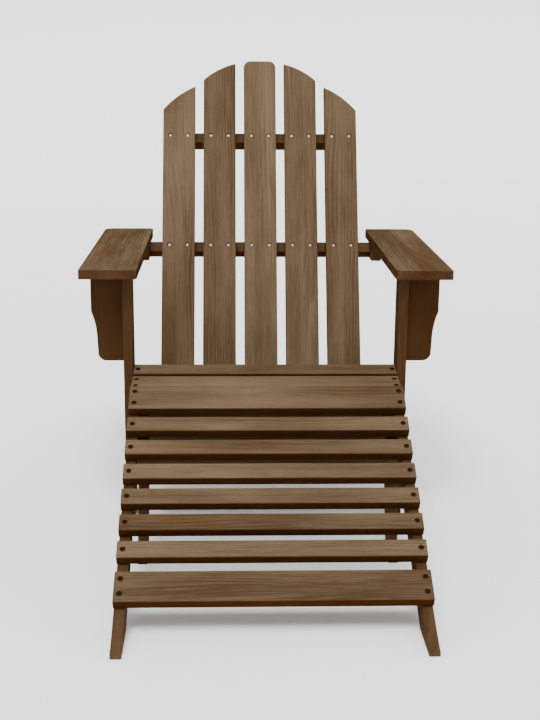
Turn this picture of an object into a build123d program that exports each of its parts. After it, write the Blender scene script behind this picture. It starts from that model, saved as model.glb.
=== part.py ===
from build123d import *
import os
from math import cos, radians, sin, tan

os.makedirs("parts", exist_ok=True)

# A slatted garden armchair with a matching separate footrest. Millimetres and degrees.
# +X is to the right seen from the front, +Y runs from front to back, +Z is up. Left and right in
# names are as seen from the front. Shapes are drawn with y = 0 at the front face of the front legs
# and moved to the middle when saved.

# Stock
BOARD = 19.0            # thickness of slats, arms, legs and stringers
BATTEN = 24.0           # thickness of the back's cross rails and the arm blocks
WIDE = 62.0             # width of a wide slat
NARROW = 36.0           # width of a narrow slat
EASE = 1.6              # rounding along the boards' edges
SLAT_REACH = 268.0      # half the length of every seat and footrest slat

# Arms, front legs and brackets
ARM_REACH = 370.0       # half the width over the arms
ARM_INNER = 256.0       # half the gap between the arms
ARM_FRONT = -38.0
ARM_BACK = 528.0
ARM_TOP = 528.0
ARM_UNDER = ARM_TOP - BOARD
ARM_NOSE_RADIUS = {"left": 6.0, "right": 18.0}  # inner front corner, cut by hand on each arm
ARM_FRONT_RADIUS = 2.0  # outer front corner
ARM_HEEL_RADIUS = 22.0  # outer rear corner
ARM_REAR_RADIUS = 8.0   # inner rear corner
LEG_INNER = 269.0       # half the gap between the front legs
LEG_OUTER = LEG_INNER + BOARD
LEG_DEPTH = 55.0
BRACKET_REACH = 353.0
BRACKET_BOTTOM = 330.0
BRACKET_STEP = 433.0    # height where the bracket's outer edge starts to curve in
BRACKET_WAIST = (342.0, 381.0)      # x and z where the curve meets the tapered lower edge
BRACKET_MIDDLE = (345.0, 406.0)     # a point halfway down the curve
BRACKET_LOW_REACH = 340.0
BRACKET_HEEL_RADIUS = 17.0
BRACKET_FRONT = (LEG_DEPTH - BOARD) / 2
BLOCK_INNER = 261.0
BLOCK_FRONT = 431.0
BLOCK_BACK = 493.0
BLOCK_UNDER = 466.0

# Seat
SEAT_FALL = 17.0        # the seat drops towards the back
FRONT_SLAT_REAR = (-20.0, 308.0)
FRONT_SLAT_TILT = 8.0
CREST_SLAT_FRONT = (-12.0, 310.5)
CREST_SLAT_TILT = 18.0
SEAT_START = (42.0, 315.8)
SEAT_PITCH = 53.5
SEAT_COUNT = 5
STRINGER_DEPTH = 100.0
STRINGER_INNER = LEG_INNER - BOARD
STRINGER_NOSE = -60.0
APRON_DEPTH = 140.0
HEEL_LENGTH = 60.0      # flat of the stringer on the ground

# Back
BACK_FOOT = (303.0, 236.0)  # where the front of the back crosses the top of the seat
BACK_LEAN = 24.0
BACK_TOP = 749.0        # distances along the back are measured from BACK_FOOT
BACK_BOTTOM = -72.0
BACK_SLAT = 76.0
BACK_PITCH = 95.8
BACK_CORNER = 16.0      # of the middle slat's top
# Drop of each slat's top below the middle slat, at its inner and outer edge
BACK_DROPS = {1: (7.0, 48.0), 2: (65.0, 123.0)}
BACK_BULGE = 5.5
RAIL_DEPTH = 50.0
TOP_RAIL_AT = 562.0
MIDDLE_RAIL_AT = 294.5
LOWER_RAIL_AT = -43.0

# Footrest
REST_START = (-97.0, 309.3)  # upper edge nearest the chair
REST_FALL = 29.0
REST_FIRST_NARROW = 84.0
REST_PITCH = 59.2
REST_NARROW_COUNT = 6
REST_LAST = 444.5
REST_RAIL_OUTER = 267.0
REST_RAIL_DEPTH = 46.0
REST_CURVE_AT = -540.0       # y where the rail's top edge starts to flatten
REST_TIP = (-617.0, 8.0)
REST_LEG_BACK = -206.0       # rear edge of the leg on the ground
REST_LEG_WIDTH = 40.0
REST_LEG_LEAN = 22.5
REST_LEG_GAP = 3.0           # the leg stops short of the rail's ends and top
REST_LEG_SCREWS = (12.0, 42.0)  # distances of the leg's screws from the rail's upper end

# Screws and dowels
HEAD_RADIUS = 3.2
HEAD_HEIGHT = 2.2
HEAD_RIM = 0.4
SHANK_RADIUS = 2.0
SINK = 2.0              # depth of the head under the surface
BORE_RADIUS = 5.0       # of the recess drilled for the head
BORE_DEPTH = 3.2
CROSS_WIDTH = 1.0
CROSS_LENGTH = 4.0
CROSS_DEPTH = 1.2
SLAT_SCREW = 40.0
SIDE_SCREW = 34.0
END_SCREW = 50.0
HOLE_CLEARANCE = 0.05   # between a screw or dowel and its hole
DOWEL_RADIUS = 4.0
DOWEL_LENGTH = 30.0
BACK_SCREW_OFFSET = 20.5    # from the middle of a back slat
WIDE_SCREW_SHARES = (0.26, 0.75)    # places of two screws across a wide slat
RAIL_END_SHARES = (0.3, 0.7)        # places of two screws across the end of a back rail
DOWEL_SHARES = (0.25, 0.75)         # places of two dowels along the top of a front leg
LEG_SCREW_HEIGHTS = (226.0, 268.0)
BRACKET_SCREW_HEIGHTS = (372.0, 462.0)
APRON_SCREW_DEPTHS = (28.0, 50.0)   # below the top of the apron

SIDES = {"left": -1, "right": 1}


def along(point, angle, distance):
    """The side-view point reached by going a distance towards the back, up a slope."""
    return (point[0] + distance * cos(radians(angle)), point[1] + distance * sin(radians(angle)))


def under(point, angle, depth=BOARD):
    """The side-view point a depth below a board's top surface, square to its slope."""
    return (point[0] + depth * sin(radians(angle)), point[1] - depth * cos(radians(angle)))


def on_slope(start, angle, y):
    """The point with a given y on the line through start."""
    return (y, start[1] + (y - start[0]) * tan(radians(angle)))


def corner_rounded(face, point, radius):
    """Round the one corner of a face that lies at the point."""
    corner = face.vertices().sort_by_distance(Vector(*point))[0]
    return fillet(corner, radius)


def side_board(face, x_from, x_to):
    """Extrude a side-view face (y, z) between two values of x."""
    return extrude(Plane.YZ.offset(x_from) * face, amount=x_to - x_from)


def eased(board, across):
    """Round the edges of the two broad faces of a board that look along an axis."""
    faces = board.faces().sort_by(across)
    return fillet(faces[0].edges() + faces[-1].edges(), EASE)


def eased_bar(centre, angle, width, thickness, reach):
    """A bar across the chair with its long edges rounded, centred at a side-view point."""
    section = RectangleRounded(width, thickness, EASE)
    tilted = Pos(centre[0], centre[1]) * Rot(0, 0, angle) * section
    return side_board(tilted, -reach, reach)


def turned(profile):
    """A solid turned about Z from its half section (radius, z)."""
    return revolve(make_face(Plane.XZ * Polyline(*profile, close=True)), Axis.Z)


def screw(place, length):
    """A cross-head screw driven along -Z of its place, its head sunk under the surface."""
    body = turned([
        (0, -SINK),
        (HEAD_RADIUS, -SINK),
        (HEAD_RADIUS, -SINK - HEAD_RIM),
        (SHANK_RADIUS, -SINK - HEAD_HEIGHT),
        (SHANK_RADIUS, SHANK_RADIUS - length),
        (0, -length),
    ])
    slot = Box(CROSS_LENGTH, CROSS_WIDTH, 2 * CROSS_DEPTH)
    cross = Pos(0, 0, -SINK) * (slot + Rot(0, 0, 90) * slot)
    return place * (body - cross)


def screw_hole(place, length):
    """What the screw takes out of the wood: a recess wider than the head, then the shank's hole."""
    shank = SHANK_RADIUS + HOLE_CLEARANCE
    tip = -length - HOLE_CLEARANCE
    return place * turned([
        (0, BORE_DEPTH),
        (BORE_RADIUS, BORE_DEPTH),
        (BORE_RADIUS, -BORE_DEPTH),
        (shank, -SINK - HEAD_HEIGHT - HOLE_CLEARANCE),
        (shank, tip + SHANK_RADIUS),
        (0, tip),
    ])


def face_place(x, point, angle):
    """A place on a sloping top surface, with local Z square to it."""
    up = (0, -sin(radians(angle)), cos(radians(angle)))
    return Plane(origin=(x, point[0], point[1]), x_dir=(1, 0, 0), z_dir=up).location


def side_place(x, y, z, outward):
    """A place on an upright face that looks along +X or -X."""
    return Plane(origin=(x, y, z), x_dir=(0, 1, 0), z_dir=(outward, 0, 0)).location


def front_place(x, y, z):
    """A place on an upright face that looks to the front."""
    return Plane(origin=(x, y, z), x_dir=(1, 0, 0), z_dir=(0, -1, 0)).location


def drilled(board, places, length):
    """A board with the holes for its screws."""
    return board - [screw_hole(place, length) for place in places]


def slat(front, angle, width):
    """A slat whose upper front edge is at a side-view point, rising at an angle to the back."""
    centre = under(along(front, angle, width / 2), angle, BOARD / 2)
    return eased_bar(centre, angle, width, BOARD, SLAT_REACH)


def slat_places(front, angle, width, x):
    """Screw places on one slat: one at each end, or two on a wide slat."""
    shares = WIDE_SCREW_SHARES if width == WIDE else (0.5,)
    return [
        face_place(side * x, along(front, angle, share * width), angle)
        for side in SIDES.values()
        for share in shares
    ]


def back_point(distance, depth=0.0):
    """Side-view point on the back, a distance up from the seat and a depth behind its face."""
    lean = radians(BACK_LEAN)
    y = BACK_FOOT[0] + distance * sin(lean) + depth * cos(lean)
    z = BACK_FOOT[1] + distance * cos(lean) - depth * sin(lean)
    return (y, z)


def back_slat(number):
    """One upright slat; numbers run -2 to 2, and the arched top falls away from slat 0."""
    half = BACK_SLAT / 2
    side = -1 if number < 0 else 1
    inner_drop, outer_drop = BACK_DROPS.get(abs(number), (0.0, 0.0))
    low_in = (-side * half, BACK_BOTTOM)
    low_out = (side * half, BACK_BOTTOM)
    high_in = (-side * half, BACK_TOP - inner_drop)
    high_out = (side * half, BACK_TOP - outer_drop)
    edges = Polyline(high_in, low_in, low_out, high_out)
    if number == 0:
        face = make_face(edges + Line(high_out, high_in))
        face = corner_rounded(face, high_in, BACK_CORNER)
        face = corner_rounded(face, high_out, BACK_CORNER)
    else:
        face = make_face(edges + SagittaArc(high_in, high_out, side * BACK_BULGE))
    board = extrude(face, amount=-BOARD)
    front_edges = board.faces().sort_by(Axis.Z)[-1].edges()
    board = fillet(front_edges, EASE)
    forward = (0, -cos(radians(BACK_LEAN)), sin(radians(BACK_LEAN)))
    plane = Plane(origin=(0, *BACK_FOOT), x_dir=(1, 0, 0), z_dir=forward)
    board = plane.location * board
    return Pos(number * BACK_PITCH, 0, 0) * board


def back_places(rail_at, number):
    """The two screw places where one slat crosses one rail."""
    point = back_point(rail_at)
    return [
        face_place(number * BACK_PITCH + offset, point, 90 - BACK_LEAN)
        for offset in (-BACK_SCREW_OFFSET, BACK_SCREW_OFFSET)
    ]


def back_rail(rail_at, reach):
    """A cross rail behind the slats, its narrow face against them."""
    centre = back_point(rail_at, BOARD + RAIL_DEPTH / 2)
    return eased_bar(centre, -BACK_LEAN, RAIL_DEPTH, BATTEN, reach)


def stringer_outline():
    """Side view of the long board under the seat that ends as the back leg."""
    front_low = under(along(FRONT_SLAT_REAR, FRONT_SLAT_TILT, -WIDE), FRONT_SLAT_TILT)
    front_high = under(FRONT_SLAT_REAR, FRONT_SLAT_TILT)
    crest_front = under(CREST_SLAT_FRONT, CREST_SLAT_TILT)
    crest_back = under(along(CREST_SLAT_FRONT, CREST_SLAT_TILT, NARROW), CREST_SLAT_TILT)
    seat_front = under(SEAT_START, -SEAT_FALL)
    low_line = under(SEAT_START, -SEAT_FALL, BOARD + STRINGER_DEPTH)
    heel_front = (low_line[0] + low_line[1] / tan(radians(SEAT_FALL)), 0.0)
    heel_back = (heel_front[0] + HEEL_LENGTH, 0.0)
    # The end is cut square to the board: step up from the heel to the top edge.
    rise = on_slope(seat_front, -SEAT_FALL, heel_back[0])[1] * cos(radians(SEAT_FALL))
    end_top = under(heel_back, -SEAT_FALL, -rise)
    nose_top = on_slope(front_low, FRONT_SLAT_TILT, STRINGER_NOSE)
    nose_low = on_slope(low_line, -SEAT_FALL, STRINGER_NOSE)
    top = [nose_top, front_high, crest_front, crest_back, seat_front, end_top]
    return [nose_low, *top, heel_back, heel_front]


def apron_top():
    """The upper front point of the apron, under the front edge of the front slat."""
    front_low = under(along(FRONT_SLAT_REAR, FRONT_SLAT_TILT, -WIDE), FRONT_SLAT_TILT)
    return on_slope(front_low, FRONT_SLAT_TILT, STRINGER_NOSE - BOARD)


def apron():
    """The upright board across the noses of the stringers."""
    y, top = apron_top()
    board = Box(2 * LEG_INNER, BOARD, APRON_DEPTH, align=(Align.CENTER, Align.MIN, Align.MAX))
    return Pos(0, y, top) * eased(board, Axis.Y)


def apron_places():
    """Screw places that hold the apron to the stringers."""
    y, top = apron_top()
    x = (STRINGER_INNER + LEG_INNER) / 2
    return [front_place(sign * x, y, top - depth) for sign in SIDES.values() for depth in APRON_SCREW_DEPTHS]


def seat_slats():
    """Name, upper front point, slope and width of every seat slat, front to back."""
    slats = [
        ("seat_slat_front", along(FRONT_SLAT_REAR, FRONT_SLAT_TILT, -WIDE), FRONT_SLAT_TILT, WIDE),
        ("seat_slat_crest", CREST_SLAT_FRONT, CREST_SLAT_TILT, NARROW),
    ]
    for index in range(SEAT_COUNT):
        front = along(SEAT_START, -SEAT_FALL, index * SEAT_PITCH)
        slats.append((f"seat_slat_{index + 1}", front, -SEAT_FALL, NARROW))
    return slats


def rest_slats():
    """The same for the footrest, from the chair outwards; slopes rise towards the chair."""
    fronts = [("footrest_slat_top", WIDE, WIDE)]
    for index in range(REST_NARROW_COUNT):
        front = REST_FIRST_NARROW + index * REST_PITCH + NARROW
        fronts.append((f"footrest_slat_{index + 1}", front, NARROW))
    fronts.append(("footrest_slat_bottom", REST_LAST + WIDE, WIDE))
    return [
        (name, along(REST_START, REST_FALL, -front), REST_FALL, width)
        for name, front, width in fronts
    ]


def rest_rail_face():
    """Side view of a footrest rail: a straight sloping board that flattens into a toe."""
    top_start = under(REST_START, REST_FALL)
    low_start = under(REST_START, REST_FALL, BOARD + REST_RAIL_DEPTH)
    back_top = on_slope(top_start, REST_FALL, REST_START[0])
    back_low = on_slope(low_start, REST_FALL, REST_START[0])
    bend = on_slope(top_start, REST_FALL, REST_CURVE_AT)
    toe = (REST_TIP[0], 0.0)
    sole_back = (low_start[0] - low_start[1] / tan(radians(REST_FALL)), 0.0)
    downhill = (-cos(radians(REST_FALL)), -sin(radians(REST_FALL)))
    top_curve = TangentArc(bend, REST_TIP, tangent=downhill)
    rest = Polyline(REST_TIP, toe, sole_back, back_low, back_top, bend)
    return make_face(top_curve + rest)


def rest_leg_face():
    """Side view of a footrest leg, leaning from the ground back up to the top of the rail."""
    slope = tan(radians(REST_LEG_LEAN))
    front_foot = REST_LEG_BACK - REST_LEG_WIDTH / cos(radians(REST_LEG_LEAN))
    top_line = under(REST_START, REST_FALL, BOARD + REST_LEG_GAP)
    end_y = REST_START[0] - REST_LEG_GAP
    back_high = (end_y, (end_y - REST_LEG_BACK) / slope)
    back_top = on_slope(top_line, REST_FALL, end_y)
    fall = tan(radians(REST_FALL))
    front_z = (top_line[1] + (front_foot - top_line[0]) * fall) / (1 - slope * fall)
    front_top = (front_foot + slope * front_z, front_z)
    return make_face(
        Polyline((front_foot, 0), (REST_LEG_BACK, 0), back_high, back_top, front_top, close=True)
    )


def bracket_face():
    """Front view (x, z) of the right-hand bracket under the arm."""
    curve = ThreePointArc((BRACKET_REACH, BRACKET_STEP), BRACKET_MIDDLE, BRACKET_WAIST)
    outer_low = (BRACKET_LOW_REACH, BRACKET_BOTTOM)
    edges = Polyline(
        BRACKET_WAIST,
        outer_low,
        (LEG_OUTER, BRACKET_BOTTOM),
        (LEG_OUTER, ARM_UNDER),
        (BRACKET_REACH, ARM_UNDER),
        (BRACKET_REACH, BRACKET_STEP),
    )
    return corner_rounded(make_face(curve + edges), outer_low, BRACKET_HEEL_RADIUS)


def arm(side):
    """A flat arm; its corners differ a little from left to right."""
    corners = [
        (ARM_INNER, ARM_FRONT),
        (ARM_REACH, ARM_FRONT),
        (ARM_REACH, ARM_BACK),
        (ARM_INNER, ARM_BACK),
    ]
    face = make_face(Polyline(*corners, close=True))
    radii = (ARM_NOSE_RADIUS[side], ARM_FRONT_RADIUS, ARM_HEEL_RADIUS, ARM_REAR_RADIUS)
    for corner, radius in zip(corners, radii):
        face = corner_rounded(face, corner, radius)
    board = extrude(Pos(0, 0, ARM_UNDER) * face, amount=BOARD)
    top_edges = board.faces().sort_by(Axis.Z)[-1].edges()
    board = fillet(top_edges, EASE)
    return board if side == "right" else mirror(board, about=Plane.YZ)


def dowel_places(sign):
    """Bottom centres of the dowels that hold one arm: leg, leg, bracket and block."""
    low = ARM_UNDER - DOWEL_LENGTH / 2
    leg_x = sign * (LEG_INNER + LEG_OUTER) / 2
    bracket_x = sign * (LEG_OUTER + BRACKET_REACH) / 2
    block_x = sign * (BLOCK_INNER + BATTEN / 2)
    return [
        *(Pos(leg_x, LEG_DEPTH * share, low) for share in DOWEL_SHARES),
        Pos(bracket_x, LEG_DEPTH / 2, low),
        Pos(block_x, (BLOCK_FRONT + BLOCK_BACK) / 2, low),
    ]


def dowel(clearance=0.0):
    """A dowel standing on its place, or the hole for it."""
    standing = (Align.CENTER, Align.CENTER, Align.MIN)
    return Cylinder(DOWEL_RADIUS + clearance, DOWEL_LENGTH + clearance, align=standing)


def on_side(places, sign):
    """Those of the places that lie on one side of the middle."""
    return [place for place in places if place.position.X * sign > 0]


def front_leg(sign):
    """A plain upright front leg."""
    standing = (Align.CENTER, Align.CENTER, Align.MIN)
    leg = eased(Box(BOARD, LEG_DEPTH, ARM_UNDER, align=standing), Axis.X)
    return Pos(sign * (LEG_INNER + LEG_OUTER) / 2, LEG_DEPTH / 2, 0) * leg


def arm_bracket(sign):
    """A bracket standing across the outer face of a front leg."""
    bracket = eased(extrude(Plane.XZ * bracket_face(), amount=-BOARD), Axis.Y)
    bracket = Pos(0, BRACKET_FRONT, 0) * bracket
    return bracket if sign > 0 else mirror(bracket, about=Plane.YZ)


def arm_block(sign):
    """The block under the rear of an arm, at the end of the middle back rail."""
    outward = Align.MIN if sign > 0 else Align.MAX
    size = (BATTEN, BLOCK_BACK - BLOCK_FRONT, ARM_UNDER - BLOCK_UNDER)
    block = eased(Box(*size, align=(outward, Align.MIN, Align.MIN)), Axis.X)
    return Pos(sign * BLOCK_INNER, BLOCK_FRONT, BLOCK_UNDER) * block


def build_seat():
    """The seat slats, and the places of all their screws."""
    pieces = {}
    every_place = []
    screw_x = (STRINGER_INNER + LEG_INNER) / 2
    for name, front, angle, width in seat_slats():
        places = slat_places(front, angle, width, screw_x)
        pieces[name] = drilled(slat(front, angle, width), places, SLAT_SCREW)
        every_place += places
    return pieces, every_place


def rail_end_places(rail_at, x):
    """Screw places that hold the ends of a back rail, on the faces at x and -x."""
    points = [back_point(rail_at, BOARD + share * RAIL_DEPTH) for share in RAIL_END_SHARES]
    return [side_place(sign * x, *point, sign) for sign in SIDES.values() for point in points]


def build_back():
    """The back slats and rails, the places of their screws, and those of the rails' ends."""
    pieces = {}
    rails = {"top": TOP_RAIL_AT, "middle": MIDDLE_RAIL_AT, "lower": LOWER_RAIL_AT}
    reaches = {
        "top": 2 * BACK_PITCH + BACK_SLAT / 2,
        "middle": BLOCK_INNER,
        "lower": STRINGER_INNER,
    }
    end_places = {
        "top": [],
        "middle": rail_end_places(MIDDLE_RAIL_AT, BLOCK_INNER + BATTEN),
        "lower": rail_end_places(LOWER_RAIL_AT, LEG_INNER),
    }
    numbers = range(-2, 3)
    every_place = []
    for number in numbers:
        places = sum((back_places(at, number) for at in rails.values()), [])
        pieces[f"back_slat_{number + 3}"] = drilled(back_slat(number), places, SLAT_SCREW)
        every_place += places
    for rail, at in rails.items():
        places = sum((back_places(at, number) for number in numbers), [])
        body = drilled(back_rail(at, reaches[rail]), places, SLAT_SCREW)
        pieces[f"back_rail_{rail}"] = drilled(body, end_places[rail], END_SCREW)
    return pieces, every_place, end_places


def build_chair():
    """All the chair's own pieces by name."""
    seat, seat_places = build_seat()
    back, back_screw_places, end_places = build_back()
    pieces = {**seat, **back}
    stringer_face = make_face(Polyline(*stringer_outline(), close=True))
    front_apron = drilled(apron(), apron_places(), END_SCREW)
    pieces["front_apron"] = drilled(front_apron, seat_places, SLAT_SCREW)
    leg_screw_places = []
    bracket_screw_places = []
    dowels = []
    for side, sign in SIDES.items():
        leg_places = [
            side_place(sign * LEG_OUTER, LEG_DEPTH / 2, z, sign) for z in LEG_SCREW_HEIGHTS
        ]
        bracket_places = [
            side_place(sign * LEG_INNER, LEG_DEPTH / 2, z, -sign) for z in BRACKET_SCREW_HEIGHTS
        ]
        dowel_holes = [place * dowel(HOLE_CLEARANCE) for place in dowel_places(sign)]

        stringer = side_board(stringer_face, *sorted((sign * STRINGER_INNER, sign * LEG_INNER)))
        stringer = eased(stringer, Axis.X)
        stringer = drilled(stringer, on_side(apron_places(), sign), END_SCREW)
        stringer = drilled(stringer, on_side(seat_places, sign), SLAT_SCREW)
        stringer = drilled(stringer, on_side(end_places["lower"], sign), END_SCREW)
        pieces[f"seat_stringer_{side}"] = drilled(stringer, leg_places, SIDE_SCREW)

        leg = drilled(front_leg(sign), leg_places, SIDE_SCREW)
        leg = drilled(leg, bracket_places, END_SCREW)
        pieces[f"front_leg_{side}"] = leg - dowel_holes[:2]

        bracket = drilled(arm_bracket(sign), bracket_places, END_SCREW)
        pieces[f"arm_bracket_{side}"] = bracket - dowel_holes[2]

        block = drilled(arm_block(sign), on_side(end_places["middle"], sign), END_SCREW)
        pieces[f"arm_block_{side}"] = block - dowel_holes[3]

        pieces[f"arm_{side}"] = arm(side) - dowel_holes
        leg_screw_places += leg_places
        bracket_screw_places += bracket_places
        dowels += [place * dowel() for place in dowel_places(sign)]

    pieces["seat_screws"] = [screw(place, SLAT_SCREW) for place in seat_places]
    pieces["back_screws"] = [screw(place, SLAT_SCREW) for place in back_screw_places]
    pieces["leg_screws"] = [screw(place, SIDE_SCREW) for place in leg_screw_places]
    pieces["bracket_screws"] = [screw(place, END_SCREW) for place in bracket_screw_places]
    pieces["rail_end_screws"] = [
        screw(place, END_SCREW) for place in end_places["middle"] + end_places["lower"]
    ]
    pieces["apron_screws"] = [screw(place, END_SCREW) for place in apron_places()]
    pieces["arm_dowels"] = dowels
    return pieces


def build_footrest():
    """All the footrest's pieces by name."""
    pieces = {}
    slat_screw_places = []
    leg_screw_places = []
    rail_inner = REST_RAIL_OUTER - BOARD
    screw_x = (REST_RAIL_OUTER + rail_inner) / 2
    for name, front, angle, width in rest_slats():
        places = slat_places(front, angle, width, screw_x)
        pieces[name] = drilled(slat(front, angle, width), places, SLAT_SCREW)
        slat_screw_places += places
    middle_line = under(REST_START, REST_FALL, BOARD + REST_RAIL_DEPTH / 2)
    joints = [on_slope(middle_line, REST_FALL, REST_START[0] - reach) for reach in REST_LEG_SCREWS]
    for side, sign in SIDES.items():
        joint_places = [side_place(sign * REST_RAIL_OUTER, *joint, sign) for joint in joints]
        rail_sides = sorted((sign * rail_inner, sign * REST_RAIL_OUTER))
        rail = eased(side_board(rest_rail_face(), *rail_sides), Axis.X)
        rail = drilled(rail, on_side(slat_screw_places, sign), SLAT_SCREW)
        pieces[f"footrest_rail_{side}"] = drilled(rail, joint_places, SIDE_SCREW)
        leg_sides = sorted((sign * (rail_inner - BOARD), sign * rail_inner))
        leg = eased(side_board(rest_leg_face(), *leg_sides), Axis.X)
        pieces[f"footrest_leg_{side}"] = drilled(leg, joint_places, SIDE_SCREW)
        leg_screw_places += joint_places
    pieces["footrest_screws"] = [screw(place, SLAT_SCREW) for place in slat_screw_places]
    pieces["footrest_leg_screws"] = [screw(place, SIDE_SCREW) for place in leg_screw_places]
    return pieces


def save(name, piece, shift):
    """Write one piece, or one group of like pieces, centred on the frame."""
    solids = piece if isinstance(piece, list) else [piece]
    solids = [solid for item in solids for solid in item.solids()]
    shape = solids[0] if len(solids) == 1 else Compound(children=solids)
    export_step(Pos(0, shift, 0) * shape, f"parts/{name}.step")


pieces = {**build_chair(), **build_footrest()}
stringer_rear = pieces["seat_stringer_left"].bounding_box().max.Y
middle_shift = -(REST_TIP[0] + stringer_rear) / 2
for piece_name, piece_shape in pieces.items():
    save(piece_name, piece_shape, middle_shift)
print(len(pieces), "nodes; moved", round(middle_shift, 2), "mm along y")
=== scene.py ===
"""Looks for the slatted garden armchair and its footrest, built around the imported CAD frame. Metres."""

from math import cos, pi, radians, sin

import bmesh
import bpy
from mathutils import Matrix, Vector


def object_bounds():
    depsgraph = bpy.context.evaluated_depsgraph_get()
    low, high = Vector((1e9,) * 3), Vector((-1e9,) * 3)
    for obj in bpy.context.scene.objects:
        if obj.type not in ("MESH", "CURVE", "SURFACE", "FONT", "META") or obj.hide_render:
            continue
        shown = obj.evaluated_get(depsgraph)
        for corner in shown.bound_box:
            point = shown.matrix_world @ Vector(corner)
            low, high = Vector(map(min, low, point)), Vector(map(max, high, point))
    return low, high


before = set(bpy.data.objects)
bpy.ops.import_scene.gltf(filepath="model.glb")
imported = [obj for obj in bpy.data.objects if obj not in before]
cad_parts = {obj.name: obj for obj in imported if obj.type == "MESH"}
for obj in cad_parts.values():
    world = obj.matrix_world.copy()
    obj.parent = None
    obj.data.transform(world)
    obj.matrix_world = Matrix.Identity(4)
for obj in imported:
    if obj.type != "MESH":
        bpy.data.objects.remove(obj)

cad_low, cad_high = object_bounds()

# Camera: standing in front of the footrest and looking slightly down.
CAMERA_PLACE = Vector((-0.078, -2.440, 0.950))
CAMERA_PITCH = radians(14.5)    # downwards
CAMERA_YAW = radians(2.1)       # towards +X
CAMERA_ROLL = radians(0.5)
CAMERA_LENS = 60.25             # mm, on a long side of 36 mm

# Colours, as linear RGB with an alpha of 1
STAIN_LIGHT = (0.131, 0.092, 0.055, 1)
STAIN_MID = (0.054, 0.033, 0.0160, 1)
# Dark stain for pores and grain, also the colour of the painted shade
STAIN_DARK_AND_SHADE = (0.036, 0.0110, 0.0015, 1)
STAIN_WARM = (0.120, 0.050, 0.016, 1)
STEEL_BRIGHT = (0.46, 0.31, 0.22, 1)
# Painted shade: the seat and footrest screws are made near black for the shade on their sunk heads
STEEL_PAINTED_DARK = (0.028, 0.015, 0.009, 1)
WORLD_WHITE = (1, 1, 1, 1)
STUDIO_WHITE = (0.92, 0.92, 0.92, 1)
STUDIO_WHITER = (0.95, 0.95, 0.95, 1)

# Figure of the wood. Scales are for the texture nodes, so a larger one is finer.
LOG_STEP = (0.137, 0.071, 0.53)     # m in the log from one board to the next
RING_SCALE = 40.0
RING_DRIFT = 0.11
CLOUD_SCALE = 11.0
STREAK_SCALE = 34.0
STREAK_SHADE = 0.24
FIBRE_SCALE = 500.0
FIBRE_SHADE = 0.24
PORE_SCALE = 1500.0
WOOD_ROUGHNESS = (0.66, 0.80)
GRAIN_DEPTH = 0.0006        # m of relief
CORNER_SHADE_REACH = 0.004        # m over which painted shade darkens a corner
EDGE_REACH = 0.0028         # m over which painted shade darkens a rounded edge

# Marks on the screws
BLOTCH_SCALE = 420.0
SCRATCH_SCALE = 1800.0
SCRATCH_DEPTH = 0.0001      # m of relief
BRIGHT_ROUGHNESS = 0.35
DARK_STEEL_ROUGHNESS = 0.5

# Studio and light, in metres
FLOOR_RADIUS = 7.0
COVE_RADIUS = 2.0
WALL_TOP = 6.0
COVE_STEPS = 10
ROUND_STEPS = 96
SUN_STRENGTH = 4.2
SUN_SPREAD = radians(30)
SUN_TURN = (radians(24), radians(-6), 0)
WORLD_STRENGTH = 1.0

# How much lighter (above 0) or darker (below 0) single boards are than the rest. Most tones are the boards'
# own; some are painted light or shade, as marked.
TONES_AND_PAINTED_LIGHT = {
    "back_slat_1": -0.04,
    "back_slat_2": -0.14,
    "back_slat_3": 0.16,
    "back_slat_4": 0.06,
    "back_slat_5": 0.02,
    "seat_slat_crest": -0.20,
    "seat_slat_front": 0.20,
    "footrest_slat_top": -0.06,
    "footrest_slat_1": 0.12,
    "footrest_slat_3": 0.04,
    "footrest_slat_5": -0.10,
    "footrest_slat_bottom": -0.16,
    "arm_left": -0.12,
    "arm_right": -0.12,
    # Painted shade: the brackets stand in the shade under the arms
    "arm_bracket_left": -0.75,
    "arm_bracket_right": -1.10,
    # Partly painted shade: the leg fronts stand under the arms
    "front_leg_left": -0.18,
    "front_leg_right": -0.18,
    # Painted light: lifts the rails' faces out of the shade between the back slats
    "back_rail_top": 0.45,
    "back_rail_middle": 0.45,
}


def board_axes(board):
    """Width, thickness and length directions of a board, from the areas of its faces."""
    areas = {}
    for face in board.data.polygons:
        normal = face.normal
        if max(normal, key=abs) < 0:
            normal = -normal
        key = tuple(round(value, 2) for value in normal)
        areas[key] = areas.get(key, 0.0) + face.area
    by_area = sorted(areas, key=areas.get, reverse=True)
    thickness = Vector(by_area[0]).normalized()
    width = next(Vector(key) for key in by_area if abs(Vector(key).dot(thickness)) < 0.1)
    width = (width - width.dot(thickness) * thickness).normalized()
    return width, thickness, width.cross(thickness)


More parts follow.
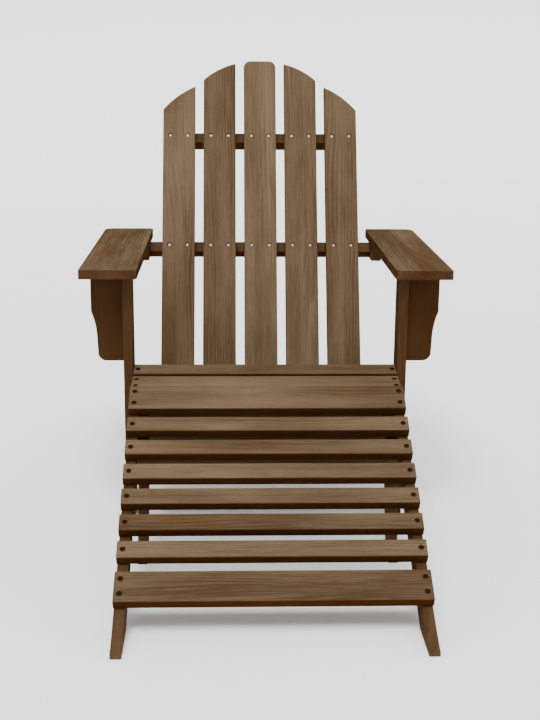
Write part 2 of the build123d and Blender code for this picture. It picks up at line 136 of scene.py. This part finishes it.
class Nodes:
    """Short calls for building a node tree."""

    def __init__(self, material):
        material.use_nodes = True
        self.tree = material.node_tree
        self.tree.nodes.clear()

    def add(self, kind, settings=None, **inputs):
        node = self.tree.nodes.new(kind)
        for name, value in (settings or {}).items():
            setattr(node, name, value)
        for name, value in inputs.items():
            self.feed(node.inputs[name.replace("_", " ")], value)
        return node

    def feed(self, socket, value):
        if isinstance(value, bpy.types.NodeSocket):
            self.tree.links.new(value, socket)
        else:
            socket.default_value = value

    def math(self, operation, a, b=0.0):
        node = self.tree.nodes.new("ShaderNodeMath")
        node.operation = operation
        self.feed(node.inputs[0], a)
        self.feed(node.inputs[1], b)
        return node.outputs[0]

    def ramp(self, value, low, high, out_low=0.0, out_high=1.0):
        """Map low..high to out_low..out_high, clamped."""
        node = self.tree.nodes.new("ShaderNodeMapRange")
        self.feed(node.inputs["Value"], value)
        node.inputs["From Min"].default_value = low
        node.inputs["From Max"].default_value = high
        node.inputs["To Min"].default_value = out_low
        node.inputs["To Max"].default_value = out_high
        return node.outputs["Result"]

    def mix(self, share, a, b):
        """Blend two colours; a share of 0 gives the first and 1 the second."""
        node = self.tree.nodes.new("ShaderNodeMix")
        node.data_type = "RGBA"
        self.feed(node.inputs["Factor"], share)
        colour_sockets = [s for s in node.inputs if s.type == "RGBA"]
        self.feed(colour_sockets[0], a)
        self.feed(colour_sockets[1], b)
        return next(s for s in node.outputs if s.type == "RGBA")

    def stretched(self, vector, scale):
        """Coordinates scaled per axis; a small scale draws a texture out along that axis."""
        return self.add("ShaderNodeMapping", Vector=vector, Scale=scale).outputs["Vector"]

    def noise(self, vector, scale, detail=3.0, roughness=0.5):
        node = self.add("ShaderNodeTexNoise", Vector=vector, Scale=scale, Detail=detail, Roughness=roughness)
        return node.outputs["Fac"]

    def dot(self, vector, axis):
        """How closely a vector follows an axis, either way along it."""
        node = self.tree.nodes.new("ShaderNodeVectorMath")
        node.operation = "DOT_PRODUCT"
        self.feed(node.inputs[0], vector)
        node.inputs[1].default_value = axis
        return self.math("ABSOLUTE", node.outputs["Value"])

    def finish(self, shader):
        output = self.tree.nodes.new("ShaderNodeOutputMaterial")
        self.tree.links.new(shader.outputs[0], output.inputs["Surface"])


def along_log(n, place, axes, seed):
    """Coordinates with X over the width, Y through and Z along a board. Seed picks the part of the log."""
    turn = Matrix(axes).to_euler()
    shift = tuple(seed * step for step in LOG_STEP)
    return n.add("ShaderNodeMapping", Vector=place, Rotation=turn, Location=shift).outputs["Vector"]


def growth_rings(n, log):
    """Growth rings, seen as long wandering lines."""
    drift = n.noise(n.stretched(log, (1, 1, 0.12)), 9.0, 2.0)
    bend = n.add("ShaderNodeCombineXYZ")
    n.feed(bend.inputs["X"], n.math("MULTIPLY", drift, RING_DRIFT))
    place = n.add("ShaderNodeVectorMath", {"operation": "ADD"})
    n.feed(place.inputs[0], n.stretched(log, (1, 0.6, 0.045)))
    n.feed(place.inputs[1], bend.outputs["Vector"])
    return n.add(
        "ShaderNodeTexWave",
        {"wave_type": "BANDS", "bands_direction": "X", "wave_profile": "SAW"},
        Vector=place.outputs["Vector"],
        Scale=RING_SCALE,
        Distortion=2.6,
        Detail=3.0,
        Detail_Scale=1.0,
    ).outputs["Fac"]


def stained_colour(n, log, rings, fibre, pores, tone_and_painted_light):
    """Brown stain, lighter and darker with the figure of the wood and with each board's tone, which for some
    boards is painted light or shade.
    """
    cloud = n.noise(n.stretched(log, (1, 1, 0.25)), CLOUD_SCALE, 3.0, 0.55)
    streak = n.noise(n.stretched(log, (1, 1, 0.04)), STREAK_SCALE, 4.0, 0.62)
    patchy = n.noise(n.stretched(log, (1, 1, 0.2)), 14.0, 2.0)
    ring_strength = n.ramp(patchy, 0.36, 0.64, 0.1, 1.0)
    ring_shade = n.math("MULTIPLY", n.ramp(rings, 0.0, 1.0, 0.14, -0.32), ring_strength)

    shade = n.math("ADD", n.ramp(cloud, 0.25, 0.75, 0.10, 0.90), tone_and_painted_light)
    shade = n.math("ADD", shade, n.ramp(streak, 0.3, 0.7, -STREAK_SHADE, STREAK_SHADE))
    shade = n.math("ADD", shade, ring_shade)
    shade = n.math("ADD", shade, n.ramp(fibre, 0.3, 0.7, -FIBRE_SHADE, FIBRE_SHADE))

    colour = n.mix(shade, STAIN_MID, STAIN_LIGHT)
    # Shades far below zero sink towards the darkest colour: deeper grain valleys, and the brackets' painted
    # shade
    colour = n.mix(n.ramp(shade, -1.2, 0.0, 0.8, 0.0), colour, STAIN_DARK_AND_SHADE)
    warmth = n.noise(n.stretched(log, (1, 1, 0.10)), 16.0, 2.0)
    colour = n.mix(n.ramp(warmth, 0.60, 0.78, 0.0, 0.20), colour, STAIN_WARM)
    return n.mix(n.math("MULTIPLY", pores, 0.35), colour, STAIN_DARK_AND_SHADE)


def stain_and_painted_shade(n, normal, axes):
    """How dark a face is made: stain on end grain, stain and painted shade on sawn edges, and painted shade
    on faces turned down from the sky.
    """
    width, _, length = axes
    side_stain_and_shade = n.ramp(n.dot(normal, width), 0.35, 0.90, 0.0, 0.60)
    end = n.ramp(n.dot(normal, length), 0.75, 0.95, 0.0, 0.65)
    upward = n.add("ShaderNodeSeparateXYZ", Vector=normal).outputs["Z"]
    # Painted shade: faces turning down get darker, as light falls from above
    painted_shade_below = n.ramp(upward, -0.50, 0.32, 0.90, 0.0)
    return n.math("MAXIMUM", n.math("MAXIMUM", side_stain_and_shade, end), painted_shade_below)


def painted_corner_shade(n):
    """Painted shade in screw recesses and tight corners."""
    corners = n.add("ShaderNodeAmbientOcclusion", {"samples": 8}, Distance=CORNER_SHADE_REACH)
    return n.ramp(corners.outputs["AO"], 0.35, 0.90, 0.9, 0.0)


def painted_edge_shade(n):
    """Painted shade along rounded edges, where the bevelled normal turns from the face."""
    bevel = n.add("ShaderNodeBevel", {"samples": 6}, Radius=EDGE_REACH)
    geometry = n.add("ShaderNodeNewGeometry")
    turned = n.add("ShaderNodeVectorMath", {"operation": "DOT_PRODUCT"})
    n.feed(turned.inputs[0], bevel.outputs["Normal"])
    n.feed(turned.inputs[1], geometry.outputs["True Normal"])
    return n.ramp(turned.outputs["Value"], 0.98, 0.80, 0.0, 0.5)


def wood(name, axes, seed, tone_and_painted_light):
    """Stained wood whose grain runs along a board."""
    material = bpy.data.materials.new(name)
    n = Nodes(material)
    place = n.add("ShaderNodeTexCoord")
    log = along_log(n, place.outputs["Object"], axes, seed)
    rings = growth_rings(n, log)
    fibre = n.noise(n.stretched(log, (1, 1, 0.032)), FIBRE_SCALE, 5.0, 0.68)
    pores = n.ramp(n.noise(n.stretched(log, (1, 1, 0.05)), PORE_SCALE, 1.0), 0.60, 0.70)

    colour = stained_colour(n, log, rings, fibre, pores, tone_and_painted_light)
    # Painted shade on faces turned down, in corners and along rounded edges, with stain on end grain and
    # sawn edges
    for mask in (stain_and_painted_shade(n, place.outputs["Normal"], axes), painted_corner_shade(n), painted_edge_shade(n)):
        colour = n.mix(mask, colour, STAIN_DARK_AND_SHADE)

    roughness = n.math("ADD", n.ramp(fibre, 0.3, 0.7, *WOOD_ROUGHNESS), n.math("MULTIPLY", pores, 0.12))
    relief = n.math("ADD", n.math("MULTIPLY", fibre, 0.7), n.math("MULTIPLY", rings, -0.35))
    relief = n.math("SUBTRACT", relief, n.math("MULTIPLY", pores, 0.5))
    bump = n.add("ShaderNodeBump", Strength=0.35, Distance=GRAIN_DEPTH, Height=relief)
    shader = n.add(
        "ShaderNodeBsdfPrincipled",
        Base_Color=colour,
        Roughness=roughness,
        Normal=bump.outputs["Normal"],
    )
    shader.inputs["Specular IOR Level"].default_value = 0.0
    n.finish(shader)
    return material


def steel(name, colour, rough):
    """Plated screw steel with faint turning marks and stains."""
    material = bpy.data.materials.new(name)
    n = Nodes(material)
    place = n.add("ShaderNodeTexCoord").outputs["Object"]
    blotch = n.noise(place, BLOTCH_SCALE, 3.0)
    scratch = n.noise(n.stretched(place, (1, 6, 1)), SCRATCH_SCALE, 2.0)
    dull = tuple(0.55 * value for value in colour[:3]) + (1,)
    tint = n.mix(n.ramp(blotch, 0.45, 0.70, 0.0, 0.6), colour, dull)
    roughness = n.math("ADD", n.ramp(blotch, 0.3, 0.7, rough, rough + 0.2), n.math("MULTIPLY", scratch, 0.1))
    bump = n.add("ShaderNodeBump", Strength=0.15, Distance=SCRATCH_DEPTH, Height=scratch)
    shader = n.add(
        "ShaderNodeBsdfPrincipled",
        Base_Color=tint,
        Metallic=1.0,
        Roughness=roughness,
        Normal=bump.outputs["Normal"],
    )
    n.finish(shader)
    return material


def clothe_nodes():
    """Give every CAD node its material."""
    bright = steel("screw_steel_bright", STEEL_BRIGHT, BRIGHT_ROUGHNESS)
    # The seat and footrest screws get near-black steel as painted shade for their sunk heads
    painted_dark_steel = steel("screw_steel_painted_dark", STEEL_PAINTED_DARK, DARK_STEEL_ROUGHNESS)
    for index, (name, board) in enumerate(sorted(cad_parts.items())):
        if name.endswith("screws"):
            material = bright if name == "back_screws" else painted_dark_steel
        else:
            tone_and_painted_light = TONES_AND_PAINTED_LIGHT.get(name, 0.0)
            material = wood(f"wood_{name}", board_axes(board), index + 1, tone_and_painted_light)
        for slot in board.material_slots:
            slot.material = material


def studio():
    """A round pale studio: a flat floor that curves up into a wall."""
    profile = [(0.0, 0.0)]
    for step in range(COVE_STEPS + 1):
        angle = step / COVE_STEPS * pi / 2
        profile.append((FLOOR_RADIUS + COVE_RADIUS * sin(angle), COVE_RADIUS * (1 - cos(angle))))
    profile.append((FLOOR_RADIUS + COVE_RADIUS, WALL_TOP))
    mesh = bmesh.new()
    corners = [mesh.verts.new((radius, 0, cad_low.z + rise)) for radius, rise in profile]
    chain = [mesh.edges.new(pair) for pair in zip(corners, corners[1:])]
    bmesh.ops.spin(
        mesh, geom=corners + chain, cent=(0, 0, 0), axis=(0, 0, 1), angle=2 * pi, steps=ROUND_STEPS
    )
    bmesh.ops.remove_doubles(mesh, verts=mesh.verts, dist=1e-4)
    for face in mesh.faces:
        face.smooth = True
    data = bpy.data.meshes.new("studio_sweep")
    mesh.to_mesh(data)
    mesh.free()
    sweep = bpy.data.objects.new("studio_sweep", data)
    bpy.context.scene.collection.objects.link(sweep)
    material = bpy.data.materials.new("studio_paint")
    n = Nodes(material)
    mottle = n.noise(n.add("ShaderNodeTexCoord").outputs["Object"], 1.5, 2.0)
    colour = n.mix(mottle, STUDIO_WHITE, STUDIO_WHITER)
    n.finish(n.add("ShaderNodeBsdfPrincipled", Base_Color=colour, Roughness=0.9))
    data.materials.append(material)


def lights():
    """A broad soft light from above and in front, and an even pale surround."""
    data = bpy.data.lights.new("overhead", "SUN")
    data.energy = SUN_STRENGTH
    data.angle = SUN_SPREAD
    lamp = bpy.data.objects.new("overhead", data)
    lamp.rotation_euler = SUN_TURN
    bpy.context.scene.collection.objects.link(lamp)
    world = bpy.data.worlds.new("studio")
    bpy.context.scene.world = world
    world.use_nodes = True
    background = world.node_tree.nodes["Background"]
    background.inputs["Color"].default_value = WORLD_WHITE
    background.inputs["Strength"].default_value = WORLD_STRENGTH


def camera():
    """The view from in front, from just above the height of the back."""
    data = bpy.data.cameras.new("camera")
    data.lens = CAMERA_LENS
    view = bpy.data.objects.new("camera", data)
    level = Matrix.Rotation(-CAMERA_YAW, 3, "Z") @ Matrix.Rotation(pi / 2 - CAMERA_PITCH, 3, "X")
    turn = level @ Matrix.Rotation(CAMERA_ROLL, 3, "Z")
    view.matrix_world = Matrix.Translation(CAMERA_PLACE) @ turn.to_4x4()
    bpy.context.scene.collection.objects.link(view)
    bpy.context.scene.camera = view


camera()
clothe_nodes()
studio()
lights()
